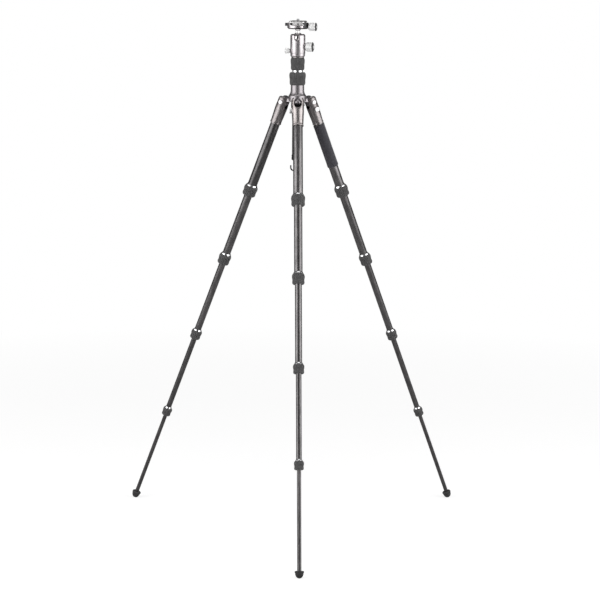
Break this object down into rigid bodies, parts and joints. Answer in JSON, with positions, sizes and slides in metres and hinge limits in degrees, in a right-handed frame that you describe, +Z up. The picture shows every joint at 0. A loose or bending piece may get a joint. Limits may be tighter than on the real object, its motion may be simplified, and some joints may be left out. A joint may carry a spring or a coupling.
{
  "type": "travel tripod",
  "caption": "Five-section travel tripod with twist locks, two-stage centre column, ball head with quick-release plate, foam grip on one leg and rubber feet.",
  "frame": {"origin": "bottom centre of the bounding box, on the floor between the feet", "axes": "+Z up along the centre column, -Y towards the front leg, +X to the viewer's right"},
  "size_m": [0.7826, 0.6806, 1.1777],
  "materials": {
    "casting_metal": "satin anodised grey",
    "shoulder_metal": "satin anodised dark grey",
    "head_metal": "satin anodised warm grey",
    "knob_metal": "satin, nearly white",
    "bright_steel": "bright turned",
    "ball_metal": "polished",
    "tube_carbon": "dark woven laminate under clear lacquer",
    "grip_rubber": "matt, ribbed",
    "grip_foam": "fine-pored foam",
    "foot_rubber": "matt",
    "bush_plastic": "natural nylon",
    "dark_metal": "satin black",
    "plate_metal": "satin anodised black",
    "level_vial": "clear vial in a bright cup"
  },
  "bodies": {
    "shoulder": {"shoulder": "shoulder_metal", "pivot_bolts": "bright_steel", "column_bush": "bush_plastic"},
    "left_leg": {"left_top_casting": "casting_metal", "left_tube_1": "tube_carbon"},
    "left_tab": {"left_angle_tab": "knob_metal"},
    "left_twist_1": {"left_lock_1": "grip_rubber"},
    "left_section_2": {"left_tube_2": "tube_carbon"},
    "left_twist_2": {"left_lock_2": "grip_rubber"},
    "left_section_3": {"left_tube_3": "tube_carbon"},
    "left_twist_3": {"left_lock_3": "grip_rubber"},
    "left_section_4": {"left_tube_4": "tube_carbon"},
    "left_twist_4": {"left_lock_4": "grip_rubber"},
    "left_section_5": {"left_tube_5": "tube_carbon", "left_foot": "foot_rubber"},
    "front_leg": {"front_top_casting": "casting_metal", "front_tube_1": "tube_carbon"},
    "front_tab": {"front_angle_tab": "knob_metal"},
    "front_twist_1": {"front_lock_1": "grip_rubber"},
    "front_section_2": {"front_tube_2": "tube_carbon"},
    "front_twist_2": {"front_lock_2": "grip_rubber"},
    "front_section_3": {"front_tube_3": "tube_carbon"},
    "front_twist_3": {"front_lock_3": "grip_rubber"},
    "front_section_4": {"front_tube_4": "tube_carbon"},
    "front_twist_4": {"front_lock_4": "grip_rubber"},
    "front_section_5": {"front_tube_5": "tube_carbon", "front_foot": "foot_rubber"},
    "right_leg": {"right_top_casting": "casting_metal", "right_tube_1": "tube_carbon", "grip_sleeve": "grip_foam"},
    "right_tab": {"right_angle_tab": "knob_metal"},
    "right_twist_1": {"right_lock_1": "grip_rubber"},
    "right_section_2": {"right_tube_2": "tube_carbon"},
    "right_twist_2": {"right_lock_2": "grip_rubber"},
    "right_section_3": {"right_tube_3": "tube_carbon"},
    "right_twist_3": {"right_lock_3": "grip_rubber"},
    "right_section_4": {"right_tube_4": "tube_carbon"},
    "right_twist_4": {"right_lock_4": "grip_rubber"},
    "right_section_5": {"right_tube_5": "tube_carbon", "right_foot": "foot_rubber"},
    "lower_twist": {"lower_column_lock": "grip_rubber"},
    "outer_tube": {"outer_column": "tube_carbon", "column_end_cap": "dark_metal"},
    "hook": {"bag_hook": "dark_metal"},
    "upper_twist": {"upper_column_lock": "grip_rubber"},
    "inner_tube": {"inner_column": "tube_carbon", "head_platform": "casting_metal", "head_stud": "bright_steel", "pan_base": "head_metal"},
    "head": {"head_housing": "head_metal"},
    "ball": {"ball_stem": "ball_metal", "clamp_body": "head_metal", "spirit_level": "level_vial"},
    "tilt_knob": {"main_knob": "knob_metal"},
    "lock_knob": {"pan_knob": "knob_metal"},
    "jaw": {"clamp_jaw": "head_metal"},
    "jaw_knob": {"clamp_knob": "knob_metal"},
    "plate": {"camera_plate": "plate_metal", "plate_pad": "foot_rubber"},
    "screw": {"camera_screw": "bright_steel"}
  },
  "joints": [
    {"name": "left_leg_swing", "type": "hinge", "parent": "shoulder", "child": "left_leg", "pos_m": [-0.03118, 0.12818, 0.98874], "axis": [0.5, 0.866, 0], "range_deg": [-22.5, 157.5]},
    {"name": "left_tab_pull", "type": "slide", "parent": "left_leg", "child": "left_tab", "axis": [0.5, 0.866, 0], "range_m": [0, 0.0045], "stiffness_N_per_m": 300},
    {"name": "left_lock_1_twist", "type": "hinge", "parent": "left_leg", "child": "left_twist_1", "pos_m": [-0.03118, 0.12818, 0.98874], "axis": [-0.3314, 0.1913, -0.9239], "range_deg": [0, 90]},
    {"name": "left_section_2_slide", "type": "slide", "parent": "left_leg", "child": "left_section_2", "axis": [0.3314, -0.1913, 0.9239], "range_m": [0, 0.1515]},
    {"name": "left_lock_2_twist", "type": "hinge", "parent": "left_section_2", "child": "left_twist_2", "pos_m": [-0.03118, 0.12818, 0.98874], "axis": [-0.3314, 0.1913, -0.9239], "range_deg": [0, 90]},
    {"name": "left_section_3_slide", "type": "slide", "parent": "left_section_2", "child": "left_section_3", "axis": [0.3314, -0.1913, 0.9239], "range_m": [0, 0.1765]},
    {"name": "left_lock_3_twist", "type": "hinge", "parent": "left_section_3", "child": "left_twist_3", "pos_m": [-0.03118, 0.12818, 0.98874], "axis": [-0.3314, 0.1913, -0.9239], "range_deg": [0, 90]},
    {"name": "left_section_4_slide", "type": "slide", "parent": "left_section_3", "child": "left_section_4", "axis": [0.3314, -0.1913, 0.9239], "range_m": [0, 0.1895]},
    {"name": "left_lock_4_twist", "type": "hinge", "parent": "left_section_4", "child": "left_twist_4", "pos_m": [-0.03118, 0.12818, 0.98874], "axis": [-0.3314, 0.1913, -0.9239], "range_deg": [0, 90]},
    {"name": "left_section_5_slide", "type": "slide", "parent": "left_section_4", "child": "left_section_5", "axis": [0.3314, -0.1913, 0.9239], "range_m": [0, 0.2185]},
    {"name": "front_leg_swing", "type": "hinge", "parent": "shoulder", "child": "front_leg", "pos_m": [0, 0.07418, 0.98874], "axis": [-1, 0, 0], "range_deg": [-22.5, 157.5]},
    {"name": "front_tab_pull", "type": "slide", "parent": "front_leg", "child": "front_tab", "axis": [-1, 0, 0], "range_m": [0, 0.0045], "stiffness_N_per_m": 300},
    {"name": "front_lock_1_twist", "type": "hinge", "parent": "front_leg", "child": "front_twist_1", "pos_m": [0, 0.07418, 0.98874], "axis": [0, -0.3827, -0.9239], "range_deg": [0, 90]},
    {"name": "front_section_2_slide", "type": "slide", "parent": "front_leg", "child": "front_section_2", "axis": [0, 0.3827, 0.9239], "range_m": [0, 0.1515]},
    {"name": "front_lock_2_twist", "type": "hinge", "parent": "front_section_2", "child": "front_twist_2", "pos_m": [0, 0.07418, 0.98874], "axis": [0, -0.3827, -0.9239], "range_deg": [0, 90]},
    {"name": "front_section_3_slide", "type": "slide", "parent": "front_section_2", "child": "front_section_3", "axis": [0, 0.3827, 0.9239], "range_m": [0, 0.1765]},
    {"name": "front_lock_3_twist", "type": "hinge", "parent": "front_section_3", "child": "front_twist_3", "pos_m": [0, 0.07418, 0.98874], "axis": [0, -0.3827, -0.9239], "range_deg": [0, 90]},
    {"name": "front_section_4_slide", "type": "slide", "parent": "front_section_3", "child": "front_section_4", "axis": [0, 0.3827, 0.9239], "range_m": [0, 0.1895]},
    {"name": "front_lock_4_twist", "type": "hinge", "parent": "front_section_4", "child": "front_twist_4", "pos_m": [0, 0.07418, 0.98874], "axis": [0, -0.3827, -0.9239], "range_deg": [0, 90]},
    {"name": "front_section_5_slide", "type": "slide", "parent": "front_section_4", "child": "front_section_5", "axis": [0, 0.3827, 0.9239], "range_m": [0, 0.2185]},
    {"name": "right_leg_swing", "type": "hinge", "parent": "shoulder", "child": "right_leg", "pos_m": [0.03118, 0.12818, 0.98874], "axis": [0.5, -0.866, 0], "range_deg": [-22.5, 157.5]},
    {"name": "right_tab_pull", "type": "slide", "parent": "right_leg", "child": "right_tab", "axis": [0.5, -0.866, 0], "range_m": [0, 0.0045], "stiffness_N_per_m": 300},
    {"name": "right_lock_1_twist", "type": "hinge", "parent": "right_leg", "child": "right_twist_1", "pos_m": [0.03118, 0.12818, 0.98874], "axis": [0.3314, 0.1913, -0.9239], "range_deg": [0, 90]},
    {"name": "right_section_2_slide", "type": "slide", "parent": "right_leg", "child": "right_section_2", "axis": [-0.3314, -0.1913, 0.9239], "range_m": [0, 0.1515]},
    {"name": "right_lock_2_twist", "type": "hinge", "parent": "right_section_2", "child": "right_twist_2", "pos_m": [0.03118, 0.12818, 0.98874], "axis": [0.3314, 0.1913, -0.9239], "range_deg": [0, 90]},
    {"name": "right_section_3_slide", "type": "slide", "parent": "right_section_2", "child": "right_section_3", "axis": [-0.3314, -0.1913, 0.9239], "range_m": [0, 0.1765]},
    {"name": "right_lock_3_twist", "type": "hinge", "parent": "right_section_3", "child": "right_twist_3", "pos_m": [0.03118, 0.12818, 0.98874], "axis": [0.3314, 0.1913, -0.9239], "range_deg": [0, 90]},
    {"name": "right_section_4_slide", "type": "slide", "parent": "right_section_3", "child": "right_section_4", "axis": [-0.3314, -0.1913, 0.9239], "range_m": [0, 0.1895]},
    {"name": "right_lock_4_twist", "type": "hinge", "parent": "right_section_4", "child": "right_twist_4", "pos_m": [0.03118, 0.12818, 0.98874], "axis": [0.3314, 0.1913, -0.9239], "range_deg": [0, 90]},
    {"name": "right_section_5_slide", "type": "slide", "parent": "right_section_4", "child": "right_section_5", "axis": [-0.3314, -0.1913, 0.9239], "range_m": [0, 0.2185]},
    {"name": "lower_column_lock_twist", "type": "hinge", "parent": "shoulder", "child": "lower_twist", "pos_m": [0, 0.11018, 0.98874], "axis": [0, 0, 1], "range_deg": [0, 90]},
    {"name": "outer_column_raise", "type": "slide", "parent": "shoulder", "child": "outer_tube", "axis": [0, 0, 1], "range_m": [0, 0.105]},
    {"name": "bag_hook_swivel", "type": "hinge", "parent": "outer_tube", "child": "hook", "pos_m": [0, 0.11018, 0.98874], "axis": [0, 0, 1], "continuous": true},
    {"name": "upper_column_lock_twist", "type": "hinge", "parent": "outer_tube", "child": "upper_twist", "pos_m": [0, 0.11018, 0.98874], "axis": [0, 0, 1], "range_deg": [0, 90]},
    {"name": "inner_column_raise", "type": "slide", "parent": "outer_tube", "child": "inner_tube", "axis": [0, 0, 1], "range_m": [0, 0.165]},
    {"name": "head_pan", "type": "hinge", "parent": "inner_tube", "child": "head", "pos_m": [0, 0.11018, 0.98874], "axis": [0, 0, 1], "continuous": true},
    {"name": "ball_tilt", "type": "hinge", "parent": "head", "child": "ball", "pos_m": [0, 0.11018, 1.13482], "axis": [0.9703, -0.2419, 0], "range_deg": [-35, 90]},
    {"name": "main_knob_turn", "type": "hinge", "parent": "head", "child": "tilt_knob", "pos_m": [0, 0.11018, 1.11482], "axis": [0.9703, -0.2419, 0], "range_deg": [-180, 360]},
    {"name": "pan_knob_turn", "type": "hinge", "parent": "head", "child": "lock_knob", "pos_m": [0, 0.11018, 1.10602], "axis": [-0.9781, -0.2079, 0], "range_deg": [-180, 360]},
    {"name": "clamp_jaw_slide", "type": "slide", "parent": "ball", "child": "jaw", "axis": [0.9703, -0.2419, 0], "range_m": [0, 0.0025]},
    {"name": "clamp_knob_turn", "type": "hinge", "parent": "jaw", "child": "jaw_knob", "pos_m": [0, 0.11018, 1.16032], "axis": [0.9703, -0.2419, 0], "range_deg": [0, 720]},
    {"name": "plate_slide", "type": "slide", "parent": "ball", "child": "plate", "axis": [0.2419, 0.9703, 0], "range_m": [-0.01, 0.01]},
    {"name": "camera_screw_turn", "type": "hinge", "parent": "plate", "child": "screw", "pos_m": [0, 0.11018, 1.15542], "axis": [0, 0, 1], "continuous": true}
  ],
  "couplings": [
    {"joint": "clamp_knob_turn", "follows": "clamp_jaw_slide", "rad_per_m": 5026.5}
  ]
}
